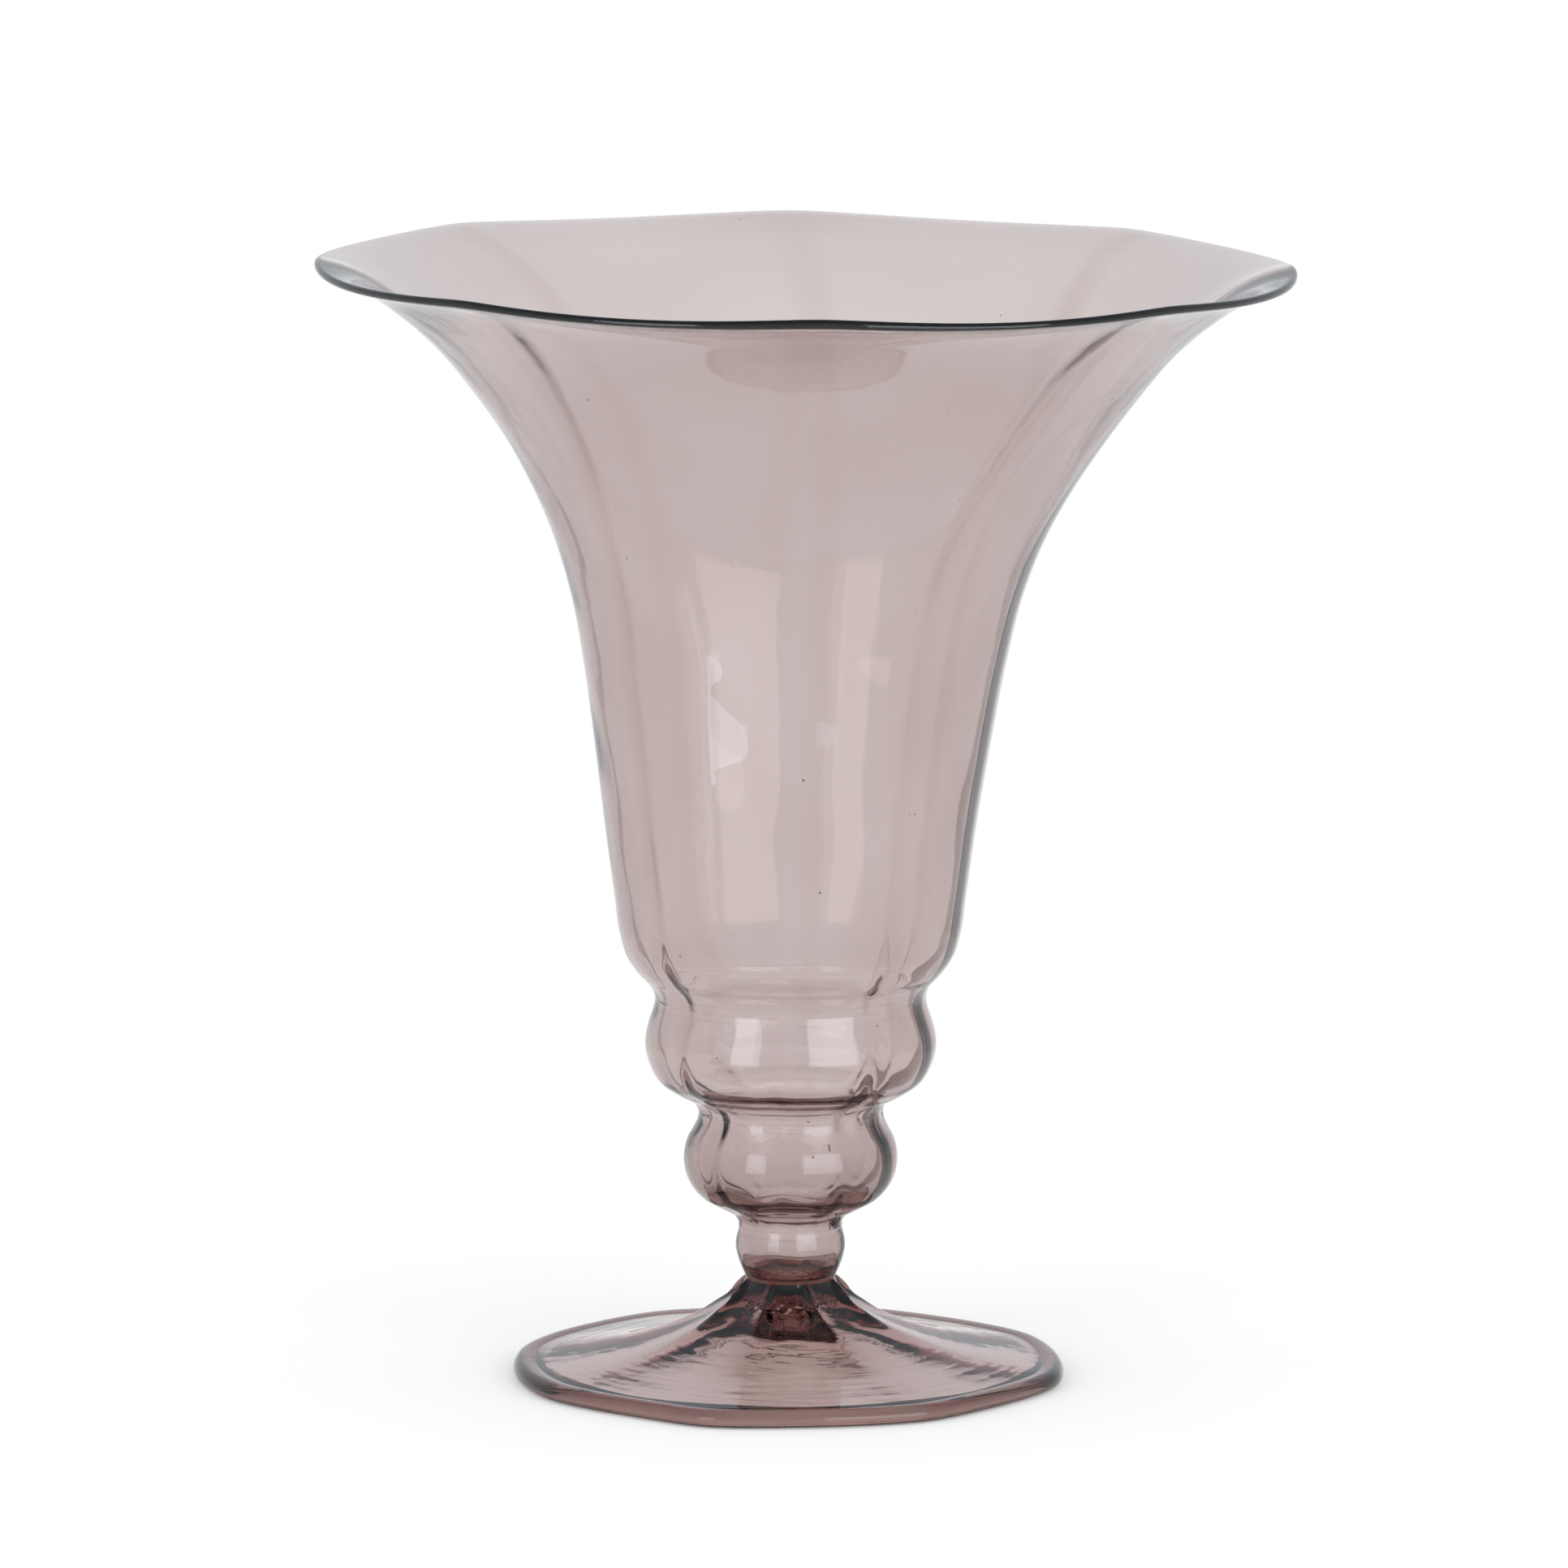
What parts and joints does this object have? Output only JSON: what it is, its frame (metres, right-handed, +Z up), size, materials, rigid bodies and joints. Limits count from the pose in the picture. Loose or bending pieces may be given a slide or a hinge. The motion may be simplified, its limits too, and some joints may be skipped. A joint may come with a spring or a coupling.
{
  "type": "trumpet vase",
  "caption": "Footed trumpet vase of tinted blown glass: wide flared ribbed bowl over two hollow melon bulbs, a small knop and a spread foot with a folded edge.",
  "frame": {"origin": "on the table, under the middle of the mouth; the foot's centre is 3.8 mm to -X of it, because the bowl leans", "axes": "+Z up from the table, -Y towards the viewer of the picture, +X to the viewer's right"},
  "size_m": [0.2432, 0.2432, 0.281],
  "materials": {
    "smoky_amethyst_glass": "clear, fire-polished, faintly purple-grey"
  },
  "bodies": {
    "root": {"foot_hem": "smoky_amethyst_glass", "foot": "smoky_amethyst_glass", "stem_knop": "smoky_amethyst_glass", "lower_bulb": "smoky_amethyst_glass", "upper_bulb": "smoky_amethyst_glass", "trumpet_bowl": "smoky_amethyst_glass"}
  },
  "joints": []
}
